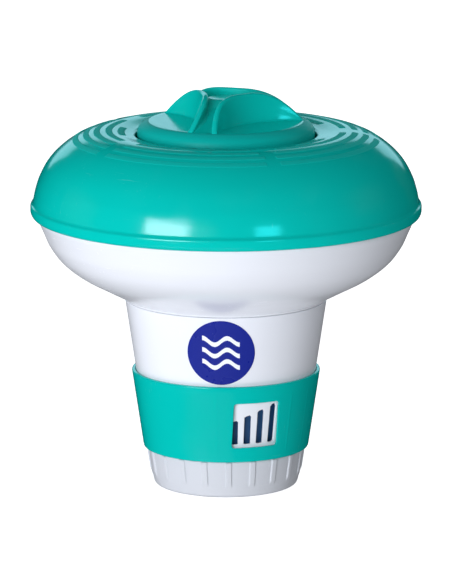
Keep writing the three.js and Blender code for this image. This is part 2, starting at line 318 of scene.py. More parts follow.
def printed_label(name, ground, centre, facing, radius):
    """Gloss vinyl: a dark blue disc with three even waves, whose sizes are shares of its radius."""
    wave_length, wave_height, row_gap, half_line, half_width = 0.74, 0.1, 0.36, 0.07, 0.555
    graph = Graph(name)
    position = graph.position()
    x, y, z = graph.parts(position)
    across = x * math.cos(facing) + y * math.sin(facing)
    up = z - centre
    wave = (across * (TAU / (radius * wave_length))).sine() * (radius * wave_height)
    waves = None
    for row in (-row_gap, 0.0, row_gap):
        line = abs(up - wave - radius * row).below(radius * half_line)
        waves = line if waves is None else waves.at_least(line)
    ink = waves * abs(across).below(radius * half_width)
    fleck = graph.noise(position, 3500.0, 2.0)
    blue = graph.mix(fleck, rgba(ground, 0.9), rgba(ground, 1.1))
    return graph.shade(
        base_color=graph.mix(ink, blue, rgba((0.84, 0.87, 0.93))),
        roughness=0.24 + graph.noise(position, 70.0, 3.0) * 0.08,
        normal=graph.bump(graph.noise(position, 260.0, 2.0), 0.06, BUMP_DEPTH),
        ior=1.35,
    )


FINISHES = {}


def make_finishes(colours):
    """Fills the finishes. A plastic has a name, colour, roughness, mottle, peel, scratches and ior."""
    FINISHES.update(
        teal=moulded_plastic("sea_green_gloss", colours.teal, 0.13, 0.03, 0.5, 0.2),
        # The collar finish holds the sea green's shaded copy: painted shade.
        collar=moulded_plastic("sea_green_collar_shaded", colours.collar, 0.13, 0.03, 0.5, 0.2),
        soft=moulded_plastic("sea_green_soft", colours.teal, 0.34, 0.03, 0.7, 0.3, 1.2),
        # The satin finish carries the bevel's darker tone, which is painted shade.
        satin=moulded_plastic("sea_green_satin_shaded", colours.shaded_bevel_teal, 0.42, 0.03, 0.7, 0.3, 1.2),
        # The strips' finish holds a darker sea green: painted shade.
        strip=matt_strip("sea_green_matt_shaded", colours.teal),
        white=moulded_plastic("cool_white_gloss", colours.white, 0.2, 0.012, 0.6, 0.4),
        # The base cup's finish is a darker copy of the white: painted shade.
        base=moulded_plastic("shaded_white_satin", colours.shaded_white, 0.3, 0.02, 0.8, 0.5),
        navy=moulded_plastic("dark_blue_satin", colours.navy, 0.38, 0.06, 1.0, 0.6),
        rubber=rubber("seal_rubber_black", colours.rubber),
        steel=plated_steel("zinc_plated_steel", colours.steel),
    )


# ------------ outlines

# Millimetres from here on: to_data turns a finished mesh into scene units.
TAPER = 0.15
TAPER_FOOT = 38.1
NECK_WALL = 1.4
SHELL_WALL = 2.2
# The arms of the grip's Y, with the cap's lugs below them, and the finger pockets between the arms.
ARMS = [math.radians(a) for a in (-8, 112, 232)]
POCKETS = [a + TAU / 6 for a in ARMS]
LUG_HALF = math.radians(20.01)
NOTCH_HALF = math.radians(24.01)


def cone(z, offset=0.0):
    """Radius of the neck's cone at a height, or of a wall at an offset from it."""
    return TAPER_FOOT + TAPER * z + offset


def arc(centre, radius, start, end, steps=5):
    """Points on an arc from one angle to another, in degrees. A pair of radii makes an ellipse."""
    wide, tall = radius if isinstance(radius, tuple) else (radius, radius)
    turns = [math.radians(start + (end - start) * i / steps) for i in range(steps + 1)]
    return [(centre[0] + wide * math.cos(t), centre[1] + tall * math.sin(t)) for t in turns]


def spline(points, steps=8):
    """A smooth curve through the points, in which each slope follows the neighbours on both sides."""
    curve = []
    for i in range(len(points) - 1):
        start, end = Vector(points[i]), Vector(points[i + 1])
        before = Vector(points[i - 1]) if i else start * 2 - end
        after = Vector(points[i + 2]) if i + 2 < len(points) else end * 2 - start
        chord = (end - start).length
        leave, arrive = (end - before).normalized() * chord, (after - start).normalized() * chord
        for t in levels(0, 1, steps)[:-1]:
            curve.append(tuple(
                start * (2 * t**3 - 3 * t**2 + 1) + leave * (t**3 - 2 * t**2 + t)
                + end * (3 * t**2 - 2 * t**3) + arrive * (t**3 - t**2)
            ))
    return [*curve, tuple(points[-1])]


def inset(points, thickness):
    """The points moved to the left of the way that they run."""
    moved = []
    for i, (r, z) in enumerate(points):
        before, after = points[max(i - 1, 0)], points[min(i + 1, len(points) - 1)]
        along = (Vector(after) - Vector(before)).normalized()
        moved.append((r - along.y * thickness, z + along.x * thickness))
    return moved


def levels(low, high, steps):
    """Evenly spaced values, both ends among them."""
    return [low + (high - low) * i / steps for i in range(steps + 1)]


def even_turns(count, phase=0.0):
    """Angles all the way round."""
    return [phase + TAU * i / count for i in range(count)]


def polar(radius, turn, z):
    return radius * math.cos(turn), radius * math.sin(turn), z


def wrapped(x, z, radius, facing):
    """The spot x to the side and z up on a round wall that is seen from outside at an angle."""
    out = math.sqrt(radius * radius - x * x)
    c, s = math.cos(facing), math.sin(facing)
    return out * c - x * s, out * s + x * c, z


def between(turn, middle):
    """The signed angle from middle to turn, from minus half a turn to half a turn."""
    return (turn - middle + math.pi) % TAU - math.pi


def smooth(value):
    """0 below 0, 1 above 1, and an easy curve between them."""
    t = min(max(value, 0.0), 1.0)
    return t * t * (3 - 2 * t)


def round_edge(distance, radius):
    """Height share of a rounded edge at a distance inside it: 0 on the edge, 1 past the radius."""
    t = 1 - min(max(distance / radius, 0.0), 1.0)
    return math.sqrt(1 - t * t)


def sides(planes, corner):
    """Signed distance from a convex outline: (nx, nz, offset) sides with rounded corners."""
    def distance(x, z):
        past = [nx * x + nz * z - offset + corner for nx, nz, offset in planes]
        return math.hypot(*(max(p, 0) for p in past)) + min(max(past), 0) - corner
    return distance


def rectangle(half_width, low, high, corner):
    """Signed distance from a rectangle with rounded corners."""
    return sides([(-1, 0, half_width), (1, 0, half_width), (0, -1, -low), (0, 1, high)], corner)


# ------------ meshes


class Turned:
    """A closed outline turned about the Z axis, with openings through its wall.

    The outline's stretches are (name, points) pairs. Relief may move a stretch's point at a turn."""

    def __init__(self, stretches, turns, relief=None):
        self.mesh, self.turns, self.rows = bmesh.new(), turns, {}
        self.outline, self.rings, self.open_cells = [], [], set()
        for name, points in stretches:
            self.rows[name] = range(len(self.outline), len(self.outline) + len(points))
            for r, z in points:
                self.outline.append((r, z))
                self.rings.append(self.ring(name, r, z, relief))

    def ring(self, name, r, z, relief):
        if r == 0:
            return [self.mesh.verts.new((0, 0, z))] * len(self.turns)
        spots = [relief(name, r, z, turn) if relief else (r, z) for turn in self.turns]
        return [
            self.mesh.verts.new(polar(radius, turn, height))
            for (radius, height), turn in zip(spots, self.turns)
        ]

    def opening(self, facing, half_width, low, high, edge, offset, wall, fillet):
        """Cuts an opening with rounded lips between the stretches 'outside' and 'inside'.

        The edge is its signed distance seen face on, the offset where the outside lies on the cone."""
        columns = [i for i, t in enumerate(self.turns) if abs(between(t, facing)) < half_width + 1e-4]
        columns.sort(key=lambda i: between(self.turns[i], facing))
        loops = []
        for name in ("outside", "inside"):
            rows = [k for k in self.rows[name] if low - 0.01 < self.outline[k][1] < high + 0.01]
            rows.sort(key=lambda k: self.outline[k][1])
            self.open_cells.update(
                (min(a, b), i) for a, b in zip(rows, rows[1:]) for i in columns[:-1]
            )
            loops.append(rim([[self.rings[k][i] for i in columns] for k in rows]))

        def place(point, depth):
            x, z = point
            return self.mesh.verts.new(wrapped(x, z, cone(z, offset) - depth, facing))

        corners = [face_on(vert.co, facing) for vert in loops[0]]
        middle = (0.0, (low + high) / 2)
        lips = [Lip(edge, middle, corner) for corner in corners]
        rings = [loops[0]]
        for share in (0.4, 0.75):
            rings.append([
                place(blend_pair(corner, lip.at(fillet), share), 0)
                for corner, lip in zip(corners, lips)
            ])
        lip_turns = levels(0, math.pi / 2, 4)
        for turn in lip_turns:
            off, depth = fillet * (1 - math.sin(turn)), fillet * (1 - math.cos(turn))
            rings.append([place(lip.at(off), depth) for lip in lips])
        for turn in reversed(lip_turns):
            off, depth = fillet * (1 - math.sin(turn)), wall - fillet * (1 - math.cos(turn))
            rings.append([place(lip.at(off), depth) for lip in lips])
        skin(self.mesh, [*rings, loops[1]])

    def build(self):
        count = len(self.turns)
        for k in range(len(self.rings)):
            below, above = self.rings[k], self.rings[(k + 1) % len(self.rings)]
            for i in range(count):
                if (k, i) not in self.open_cells:
                    j = (i + 1) % count
                    face(self.mesh, below[i], below[j], above[j], above[i])
        return self.mesh


class Lip:
    """The point of an opening's edge on the line from its middle through a point outside it."""

    def __init__(self, edge, middle, through):
        near, far = 0.0, 1.0
        for _ in range(24):
            share = (near + far) / 2
            if edge(*blend_pair(middle, through, share)) < 0:
                near = share
            else:
                far = share
        self.point = blend_pair(middle, through, near)
        x, z = self.point
        step = 0.01
        slope = Vector((edge(x + step, z) - edge(x - step, z), edge(x, z + step) - edge(x, z - step)))
        self.normal = slope.normalized()

    def at(self, off):
        return self.point[0] + self.normal.x * off, self.point[1] + self.normal.y * off


def face_on(spot, facing):
    """Sideways distance and height of a point, seen from outside at an angle."""
    return spot.y * math.cos(facing) - spot.x * math.sin(facing), spot.z


def blend_pair(a, b, share):
    return a[0] + (b[0] - a[0]) * share, a[1] + (b[1] - a[1]) * share


def face(mesh, *corners):
    """A face between the corners. Two that meet in one vertex leave a triangle."""
    corners = list(dict.fromkeys(corners))
    if len(corners) > 2:
        mesh.faces.new(corners)


def rim(grid):
    """The outer vertices of a grid, once round."""
    far, near = [row[-1] for row in grid[1:]], [row[0] for row in grid[-2:0:-1]]
    return grid[0] + far + grid[-1][-2::-1] + near


def skin(mesh, rings, closed=True, slot=0):
    """Joins rings of equally many vertices with faces."""
    for a, b in zip(rings, rings[1:]):
        for i in range(len(a) if closed else len(a) - 1):
            j = (i + 1) % len(a)
            mesh.faces.new((a[i], a[j], b[j], b[i])).material_index = slot


def slab(mesh, top, bottom, slot=0):
    """A closed plate between two grids of points with the same rows and columns."""
    upper = [[mesh.verts.new(p) for p in row] for row in top]
    lower = [[mesh.verts.new(p) for p in row] for row in bottom]
    skin(mesh, upper, False, slot)
    skin(mesh, lower, False, slot)
    skin(mesh, [rim(upper), rim(lower)], True, slot)


def add_object(name, data):
    made = bpy.data.objects.new(name, data)
    bpy.context.scene.collection.objects.link(made)
    return made


def to_data(name, mesh):
    """Turns a mesh in millimetres into mesh data in scene units."""
    bmesh.ops.scale(mesh, vec=(MM, MM, MM), verts=mesh.verts)
    bmesh.ops.recalc_face_normals(mesh, faces=mesh.faces)
    data = bpy.data.meshes.new(name)
    mesh.to_mesh(data)
    mesh.free()
    return data


def punched(data, punch):
    """The mesh data with the shapes of another mesh cut out of it."""
    body = add_object("punched", data)
    tool = add_object("punch", to_data("punch", punch))
    cut = body.modifiers.new("cut", "BOOLEAN")
    cut.object, cut.solver = tool, "EXACT"
    graph = bpy.context.evaluated_depsgraph_get()
    result = bpy.data.meshes.new_from_object(body.evaluated_get(graph))
    for made in (body, tool):
        bpy.data.objects.remove(made)
    return result


def piece(name, mesh, finishes, body, node, sharp=SHARP_ANGLE, punch=None):
    """Turns a mesh in millimetres into an object that stands for a CAD node."""
    data = to_data(name, mesh)
    if punch:
        data = punched(data, punch)
    data.shade_smooth()
    data.set_sharp_from_angle(angle=math.radians(sharp))
    for finish in finishes:
        data.materials.append(FINISHES[finish])
    made = add_object(name, data)
    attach(made, body)
    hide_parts(node)
    return made


# ------------ float

DOME = spline([
    (101.1, 152.0), (99.95, 157.4), (97.9, 163.8), (93.5, 172.0), (87.6, 178.5), (80.1, 183.9),
    (71.6, 187.4), (61.5, 188.8), (49.4, 187.4),
], 7)
# Inner and outer radius of each ring of strips, and half the gap between its strips in degrees.
STRIP_BANDS = [(52.8, 56.8), (59.4, 63.2), (65.8, 69.4), (71.6, 74.9), (77.2, 80.4)]
STRIP_GAPS = [24.0, 6.2, 3.6, 2.2, 2.6]
STRIP_GROUPS = 5
STRIP_PHASE = math.radians(-20)
STRIP_HEIGHT = 0.18
STRIP_SINK = 0.12


def float_top_mesh():
    """The top shell. The lock ring's lugs drop through the notches in its ledge."""
    notch_radius, skirt_radius = 47.3, 51.5

    def relief(name, r, z, turn):
        in_notch = any(abs(between(turn, arm)) < NOTCH_HALF for arm in ARMS)
        return (notch_radius, z) if name == "ledge" and in_notch else (r, z)

    underside = [p for p in inset(DOME[::2], SHELL_WALL) if p[0] > skirt_radius][::-1]
    bead = [*arc((99.9, 147.2), (2.6, 3.2), -85, 0, 8), *arc((100.8, 149.2), 1.7, 0, 62, 5)]
    shape = Turned([
        ("bead", bead), ("step", [(101.35, 151.25), (101.12, 151.6)]), ("dome", DOME),
        ("lip", arc((49.3, 185.5), 1.9, 90, 180, 6)),
        ("throat", [(47.4, 184.0), (47.4, 182.3), (47.1, 182.0)]),
        ("ledge", [(45.0, 182.0), (44.8, 181.8), (44.8, 179.2), (45.0, 179.0)]),
        ("skirt", [
            (47.4, 179.0), (47.4, 172.3), (47.7, 172.0), (49.3, 172.0), (49.6, 172.3), (49.6, 184.4),
        ]),
        ("underside", underside),
        ("rib", [
            (98.7, 152.6), (96.2, 152.0), (96.2, 150.0), (99.2, 150.0), (99.2, 144.3), (99.4, 144.0),
        ]),
    ], even_turns(360), relief)
    return shape.build()


def dome_point(radius, lift):
    """A point above the dome's surface by lift, at a radius."""
    for a, b in zip(DOME, DOME[1:]):
        if b[0] <= radius <= a[0]:
            share = (a[0] - radius) / (a[0] - b[0])
            along = (Vector(b) - Vector(a)).normalized()
            r, z = blend_pair(a, b, share)
            return r + along.y * lift, z - along.x * lift
    raise ValueError(f"no dome at radius {radius}")


def add_strips(mesh):
    """Raised matt strips in rings on the dome, in groups with radial gaps between them."""
    for group in range(STRIP_GROUPS):
        middle = STRIP_PHASE + TAU * (group + 0.5) / STRIP_GROUPS
        for (inner, outer), gap in zip(STRIP_BANDS, STRIP_GAPS):
            half_turn = math.pi / STRIP_GROUPS - math.radians(gap)
            add_strip(mesh, inner, outer, middle, half_turn)


def close_at_ends(half, count):
    """Places from -half to half: even in the middle, and closer together at the rounded ends."""
    ends, middle = [0, 0.1, 0.25, 0.45, 0.8], half - 1.2
    return [*(e - half for e in ends), *levels(-middle, middle, count), *(half - e for e in ends[::-1])]


def add_strip(mesh, inner, outer, middle, half_turn):
    """One strip: a thin slab that follows the dome, with rounded edges and corners."""
    corner, fillet, spacing, below = 0.8, 0.5, 1.6, -0.5
    half_width, centre = (outer - inner) / 2, (inner + outer) / 2
    half_length = half_turn * centre
    edge = rectangle(half_width, -half_length, half_length, corner)
    top, bottom = [], []
    for x in close_at_ends(half_width, 3):
        rows = [[], []]
        for y in close_at_ends(half_length, max(6, int(2 * half_length / spacing))):
            rise = (STRIP_HEIGHT + STRIP_SINK) * round_edge(-edge(x, y), fillet) - STRIP_SINK
            for row, lift in zip(rows, (rise, below)):
                r, z = dome_point(centre + x, lift)
                row.append(polar(r, middle + y / centre, z))
        top.append(rows[0])
        bottom.append(rows[1])
    slab(mesh, top, bottom, slot=1)


def bowl_mesh():
    """The white lower shell, open at the spout that sits on the neck."""
    bowl = spline([
        (53.3, 100.7), (56.0, 102.3), (64.9, 107.0), (77.1, 113.6), (86.6, 121.0), (92.6, 129.0),
        (95.8, 136.0), (98.4, 142.0),
    ], 7)
    inside = inset(bowl[::2], SHELL_WALL)[1:][::-1]
    return Turned([
        ("spout", [(50.5, 99.9), (53.0, 99.9)]),
        ("bowl", bowl),
        ("rim", [
            (98.8, 144.5), (98.8, 147.2), (98.5, 147.5), (96.9, 147.5), (96.6, 147.2), (96.6, 144.5),
        ]),
        ("inside", inside),
        ("bore", [(50.5, 103.4)]),
    ], even_turns(300)).build()


def throat_mesh():
    """The tube through the float, from the neck up to the filling hole."""
    return Turned([
        ("tube", [
            (46.2, 98.3), (46.5, 98.0), (47.7, 98.0), (48.0, 98.3), (48.0, 110.6), (49.8, 110.6),
            (50.1, 110.9), (50.1, 112.4), (48.2, 114.2), (48.2, 162.0), (52.0, 166.0), (52.0, 178.0),
            (50.0, 178.0), (50.0, 169.6), (46.5, 169.6), (46.2, 169.3),
        ]),
    ], even_turns(180)).build()


# ------------ neck and collar


def neck_mesh(sizes):
    """The neck, with two series of slots that get shorter one by one and have slanted tops."""
    series, slots, slant = 2, 7, Vector((-0.28, 1.0)).normalized()
    pitch, last = sizes.slot_pitch, sizes.slot_last
    bottom, tallest = sizes.slot_bottom / MM, sizes.slot_tallest / MM
    step, half = sizes.slot_step / MM, sizes.slot_width / MM / 2
    row = step / 2
    heights = [22.5, 25.0, 27.0] + [bottom + row * i for i in range(-1, int(tallest / row) + 3)]
    heights += [58.0, 64.0, 70.0, 76.0, 82.0, 88.0]
    shape = Turned([
        ("foot", [(cone(22.1, -NECK_WALL) + 0.3, 22.1), (cone(22.1) - 0.3, 22.1)]),
        ("outside", [(cone(z), z) for z in heights]),
        ("shoulder", [
            (cone(94), 94.0), (cone(99.3), 99.3), (cone(99.6) - 0.3, 99.6), (50.2, 99.6),
            (50.2, 107.7), (49.9, 108.0), (48.7, 108.0), (48.4, 107.7), (48.4, 98.9),
        ]),
        ("inside", [(cone(z, -NECK_WALL), z) for z in reversed(heights)]),
    ], even_turns(240, last - math.pi / 2))
    for side in range(series):
        for i in range(slots):
            top = bottom + tallest - step * i
            edge = sides([
                (-1, 0, half), (1, 0, half), (0, -1, -bottom),
                (slant.x, slant.y, slant.x * half + slant.y * (top + 0.7)),
            ], 0.4)
            facing = side * math.pi - math.pi / 2 + last - pitch * i
            low, high = bottom - row, top + row
            shape.opening(facing, math.radians(3), low, high, edge, 0.0, NECK_WALL, 0.18)
    return shape.build()


def collar_mesh(sizes):
    """The collar, with a window on either side and faint streaks where the plastic met in its mould."""
    inner, outer, top = 0.3, 2.25, 62.0
    half = sizes.window_width / MM / 2
    low, high = sizes.window_bottom / MM, sizes.window_top / MM
    heights = [21.8, 23.0, 24.5] + levels(low - 2, high + 2, 20) + [57.0, 59.2]
    # The lip's groove clears the stop on the base cup as far as the collar turns.
    groove, groove_low, groove_high = 1.2, math.radians(131), math.radians(201)
    streaks = [math.radians(a) for a in (-116, -65, -48)]
    streak_lift, streak_width = 0.13, math.radians(0.55)

    def relief(name, r, z, turn):
        if name == "lip" and groove_low < turn < groove_high:
            return r + groove, z
        if name == "outside" and 26 < z < 57:
            lift = sum(math.exp(-((between(turn, s) / streak_width) ** 2)) for s in streaks)
            return r + streak_lift * lift, z
        return r, z

    shape = Turned([
        ("under", [
            (40.2, 20.5), (cone(20.5, outer) - 0.7, 20.5),
            *arc((cone(21, outer) - 0.75, 21.25), 0.7, -60, 0, 3),
        ]),
        ("outside", [(cone(z, outer), z) for z in heights]),
        ("top", arc((cone(top - 0.8, outer) - 0.8, top - 0.8), 0.8, 0, 90, 5)),
        ("mouth", [(cone(top, inner) + 0.3, top), (cone(top - 0.3, inner), top - 0.3)]),
        ("inside", [(cone(z, inner), z) for z in reversed(heights)]),
        ("lip", [(39.9, 21.8), (39.7, 21.6), (39.7, 20.7), (39.9, 20.5)]),
    ], even_turns(720), relief)
    edge, reach = rectangle(half, low, high, 1.4), math.radians(19)
    for facing in (-math.pi / 2, math.pi / 2):
        shape.opening(facing, reach, low - 2, high + 2, edge, outer, outer - inner, 0.35)
    return shape.build()


def base_mesh(sizes):
    """The base cup. Its columns crowd together at the sides of the ribs."""
    body, proud, half = 0.1, 0.65, sizes.rib_width / MM / 2
    pitch, mean_radius = TAU / sizes.rib_count, 40.0
    offsets = [0, 0.5, 0.85, 1.2, 1.4, 1.6, 1.8, 2.1, 2.8, 4.2, mean_radius * pitch / 2]
    turns = sorted({
        round((middle + sign * offset / mean_radius) % TAU, 9)
        for middle in even_turns(sizes.rib_count) for offset in offsets for sign in (-1, 1)
    })

    def relief(name, r, z, turn):
        if name != "outside":
            return r, z
        sideways = abs(between(turn, round(turn / pitch) * pitch)) * r
        side = 1 - smooth((sideways - half + 0.35) / 0.6)
        end = smooth((z - 5.6) / 3.2) * (1 - smooth((z - 19.5) / 0.9) * 0.6)
        return r + proud * side * end, z

    heights = [5.8, 6.2, 6.7, 7.4, 8.1, 8.8, 9.6, 12, 15, 18, 19.3, 19.8]
    shape = Turned([
        ("floor", [(0, 0), (20, 0), (34.4, 0)]),
        ("heel", spline([(35.3, 0), (36.8, 0.5), (37.8, 1.6), (38.5, 4.2)], 4)),
        ("outside", [(cone(z, body), z) for z in heights]),
        ("shoulder", [
            (cone(20.2, body) - 0.35, 20.2), (39.3, 20.2), (39.3, 27.2), (39.0, 27.5), (38.0, 27.5),
            (37.7, 27.2),
        ]),
        ("inside", [(37.7, 19.2), (cone(6, body) - 2, 6), (35.2, 3), (33.4, 2), (0, 2)]),
    ], turns, relief)
    return shape.build()


# ------------ inside the neck


def basket_mesh():
    """The cup for the tablets, with a row of openings below its rim."""
    offset, wall = -3.3, 1.2
    heights = [30.2, 34.0, 40.0, 46.0, 51.0, *levels(53, 62, 6), 63.6]
    shape = Turned([
        ("floor", [
            (0, 28.2), (20, 28.2), (cone(28.2, offset) - 1.0, 28.2), (cone(29, offset) - 0.2, 28.5),
        ]),
        ("outside", [(cone(z, offset), z) for z in [29.2, *heights]]),
        ("rim", [(cone(64, offset) - 0.4, 64.0), (cone(64, offset - wall) + 0.4, 64.0)]),
        ("inside", [(cone(z, offset - wall), z) for z in reversed(heights)]),
        ("bottom", [(20, 29.8), (0, 29.8)]),
    ], even_turns(180))
    edge, reach = rectangle(8, 54, 61, 2), math.radians(14)
    for facing in even_turns(8):
        shape.opening(facing, reach, 53, 62, edge, offset, wall, 0.25)
    return shape.build()


def floor_holes():
    """Rods that cut the two rings of drain holes in the basket's floor."""
    mesh, hole_radius = bmesh.new(), 4
    for radius, count in ((11, 4), (26, 9)):
        for turn in even_turns(count):
            bmesh.ops.create_cone(
                mesh, cap_ends=True, segments=32, radius1=hole_radius, radius2=hole_radius, depth=6,
                matrix=Matrix.Translation(polar(radius, turn, 29.0)),
            )
    return mesh


# ------------ cap

CAP_FLOOR = 194.0
# Heights are above the cap's floor. The walls start to fall past the ridge, the ramp past its flat.
GRIP_END = 40.5
TROUGH_END = GRIP_END - 0.2
GRIP_HEIGHT = 15.5
GRIP_RIDGE = 13.0
GRIP_PLATEAU = 12.2
GRIP_FLAT = 9.0
GRIP_WALL = 2.9
# Each finger pocket is a round scoop centred outside the rim, and its wall leans back from it.
SCOOP_CENTRE = 59.3
SCOOP_RADIUS = 44.4
LEAN = 0.1


def grip_crest(r):
    """Height of the wall tops above the pocket floor."""
    reach = max(r - GRIP_RIDGE, 0) / (GRIP_END - GRIP_RIDGE)
    return GRIP_HEIGHT * max(1 - reach * reach, 0)


def grip_trough(r):
    """Height of the hollow ramp between two walls."""
    down = min(max(r - GRIP_FLAT, 0) / (GRIP_END - 0.4 - GRIP_FLAT), 1)
    return GRIP_PLATEAU * (1 - down) ** 1.35


def scoop_distance(x, y, pocket):
    """Distance from the middle of a finger pocket's scoop."""
    return math.dist((x, y), (SCOOP_CENTRE * math.cos(pocket), SCOOP_CENTRE * math.sin(pocket)))


def cap_disc():
    return Turned([
        ("under", [
            (0, 192.0), (20, 192.0), (41.2, 192.0), (43.0, 190.2), (43.0, 184.3), (43.2, 184.1),
            (46.0, 184.1), (46.4, 184.5), (46.4, 186.5),
        ]),
        ("rim", spline([
            (46.4, 188.3), (46.0, 190.0), (44.9, 191.7), (43.2, 193.0), (41.6, 193.75),
            (40.1, CAP_FLOOR),
        ], 4)),
        ("floor", [(38, CAP_FLOOR), (20, CAP_FLOOR), (0, CAP_FLOOR)]),
    ], even_turns(240)).build()


def add_trough(mesh):
    """The Y-shaped middle of the grip, between the walls."""
    top, bottom = [], []
    rings, pin_hole = 26, 0.02
    for turn in even_turns(360):
        reach = TROUGH_END
        for _ in range(3):
            reach = trough_reach(turn, grip_trough(reach))
        rows = [[], []]
        for j in range(rings + 1):
            r = reach * (1 - (1 - j / rings) ** 1.5) if j else pin_hole
            x, y, height = polar(r, turn, grip_trough(r))
            height += max(trough_fillet(x, y, height, pocket) for pocket in POCKETS)
            rows[0].append((x, y, CAP_FLOOR + height))
            rows[1].append((x, y, CAP_FLOOR - 1))
        top.append(rows[0])
        bottom.append(rows[1])
    slab(mesh, top + top[:1], bottom + bottom[:1])


def trough_reach(turn, height):
    """Distance from the axis to the middle of the wall in a direction, or to the rim."""
    wall_radius = SCOOP_RADIUS + GRIP_WALL / 2 + LEAN * height
    reach = TROUGH_END
    for pocket in POCKETS:
        swing = between(turn, pocket)
        across = SCOOP_CENTRE * math.sin(swing)
        if abs(swing) < math.pi / 2 and abs(across) < wall_radius:
            scoop = SCOOP_CENTRE * math.cos(swing) - math.sqrt(wall_radius**2 - across**2)
            reach = min(reach, scoop)
    return reach


def trough_fillet(x, y, height, pocket):
    """How much a fillet beside a pocket's wall lifts the ramp. It is wider at the foot."""
    radius = 2.4 - 1.5 * height / GRIP_PLATEAU
    away = scoop_distance(x, y, pocket) - (SCOOP_RADIUS + GRIP_WALL + LEAN * height)
    if away >= radius:
        return 0.0
    near = radius - max(away, 0)
    return (radius - math.sqrt(radius**2 - near**2)) * min(1, height / 3)


def add_grip_wall(mesh, pocket):
    """One curved wall with a rounded top, from rim to rim behind a finger pocket."""
    half_swing = 43.0
    middle_radius = SCOOP_RADIUS + GRIP_WALL / 2
    rings = []
    for swing in levels(-half_swing, half_swing, 96):
        beta = math.radians(swing)
        inward = Vector((-math.cos(beta), math.sin(beta)))
        centre = Vector((SCOOP_CENTRE, 0)) + inward * middle_radius
        height = max(grip_crest(centre.length), 0.05)
        rings.append([
            mesh.verts.new(place_wall(inward, pocket, middle_radius + off, z))
            for off, z in wall_section(height)
        ])
    skin(mesh, rings)
    mesh.faces.new(rings[0])
    mesh.faces.new(rings[-1])


def place_wall(inward, pocket, radius, z):
    spot = Vector((SCOOP_CENTRE, 0)) + inward * radius
    c, s = math.cos(pocket), math.sin(pocket)
    return spot.x * c - spot.y * s, spot.x * s + spot.y * c, CAP_FLOOR + z


def wall_section(height):
    """Sideways offset and height of the wall's outline. Negative offsets face the pocket."""
    half = GRIP_WALL / 2
    size = min(1.0, height / 4)
    foot, crown = 0.9 * size, 1.15 * min(1.0, height / 1.6)
    points = [(-half - foot, -0.4)]
    for turn in levels(0, 90, 4):
        a = math.radians(turn)
        points.append((-half - foot + foot * math.sin(a), foot * (1 - math.cos(a))))
    for share in (0.3, 0.6):
        points.append((-half, foot + (height - crown - foot) * share))
    points += [(x, height - crown + y) for x, y in arc((0, 0), (half, crown), 180, 0, 8)]
    points += [(half, (height - crown) * 0.5), (half, -0.4)]
    return [(x + LEAN * max(z, 0), z) for x, z in points]


def cap_mesh():
    """The disc, whose bevel and underside are satin with a darker tone that paints shade, with the
    Y-shaped grip on it.
    """
    mesh = cap_disc()
    # Faces below the floor, the bevel and underside, take slot 1: the satin finish with painted shade.
    for face in mesh.faces:
        face.material_index = int(face.calc_center_median().z < CAP_FLOOR - 0.05)
    add_trough(mesh)
    for pocket in POCKETS:
        add_grip_wall(mesh, pocket)
    soften_crowns(mesh)
    return mesh


def soften_crowns(mesh):
    """Gives the worn crowns and the trough side of the grip walls the softer gloss."""
    for face in mesh.faces:
        face.normal_update()
        x, y, z = face.calc_center_median()
        height = z - CAP_FLOOR
        away = min(scoop_distance(x, y, pocket) for pocket in POCKETS)
        past_crown = away > SCOOP_RADIUS + 0.4 * GRIP_WALL + LEAN * height
        if height >= 0.05 and abs(face.normal.z) <= 0.9 and past_crown:
            face.material_index = 2


def lock_ring_mesh():
    """The ring below the cap, whose three lugs lock under the float's ledge."""
    def relief(name, r, z, turn):
        at_lug = any(abs(between(turn, arm)) < LUG_HALF for arm in ARMS)
        return (r + 2.4, z) if name == "lug" and at_lug else (r, z)

    return Turned([
        ("bottom", [(41.2, 175.9), (44.1, 175.9)]),
        ("lug", [(44.4, 176.2), (44.4, 178.3), (44.2, 178.6)]),
        ("body", [
            (44.4, 178.9), (44.4, 181.7), (44.1, 182.0), (42.7, 182.0), (42.7, 189.0), (42.4, 189.3),
            (41.2, 189.3), (40.9, 189.0), (40.9, 176.2),
        ]),
    ], even_turns(360), relief).build()


def gasket_mesh():
    corners = [(46.2, 182.8), (46.2, 183.3), (43.6, 183.3), (43.6, 182.8)]
    ring = [p for i, corner in enumerate(corners) for p in arc(corner, 0.5, 90 * i - 90, 90 * i, 3)]
    return Turned([("ring", ring)], even_turns(180)).build()


# ------------ label

LABEL_FACING = math.radians(-113)


def label_mesh(sizes, facing, height):
    """A thin round sticker that follows the neck's cone."""
    radius, thick, thin = sizes.label_radius / MM, 0.22, 0.03
    # Share of the radius, and lift off the neck, from the middle of the face round to the back.
    section = [(share, thick) for share in (0.0, 0.35, 0.7, 0.93, 0.985)]
    section += [(0.998, 0.18), (1.0, 0.12), (1.0, thin), (0.5, thin), (0.0, thin)]
    mesh, rings, count = bmesh.new(), [], 120
    for share, lift in section:
        ring = []
        for turn in even_turns(count):
            x, z = radius * share * math.cos(turn), height + radius * share * math.sin(turn)
            ring.append(wrapped(x, z, cone(z, lift), facing))
        middle = [mesh.verts.new(ring[0])] * count if share == 0 else None
        rings.append(middle or [mesh.verts.new(p) for p in ring])
    for a, b in zip(rings, rings[1:]):
        for i in range(count):
            j = (i + 1) % count
            face(mesh, a[i], a[j], b[j], b[i])
    return mesh


# ------------ operators


class DispenserOperator:
    """What every operator here shares."""

    bl_options = {"REGISTER", "UNDO"}

    def execute(self, context):
        self.make(context.scene.dispenser_sizes, context.scene.dispenser_colours)
        return {"FINISHED"}


class DISPENSER_OT_stage(DispenserOperator, bpy.types.Operator):
    """Add the floor, the soft lights, the sky and the camera"""

    bl_idname = "dispenser.stage"
    bl_label = "Stage"

    def make(self, sizes, colours):
        add_camera()
        add_floor()
        add_lights()
        add_sky()


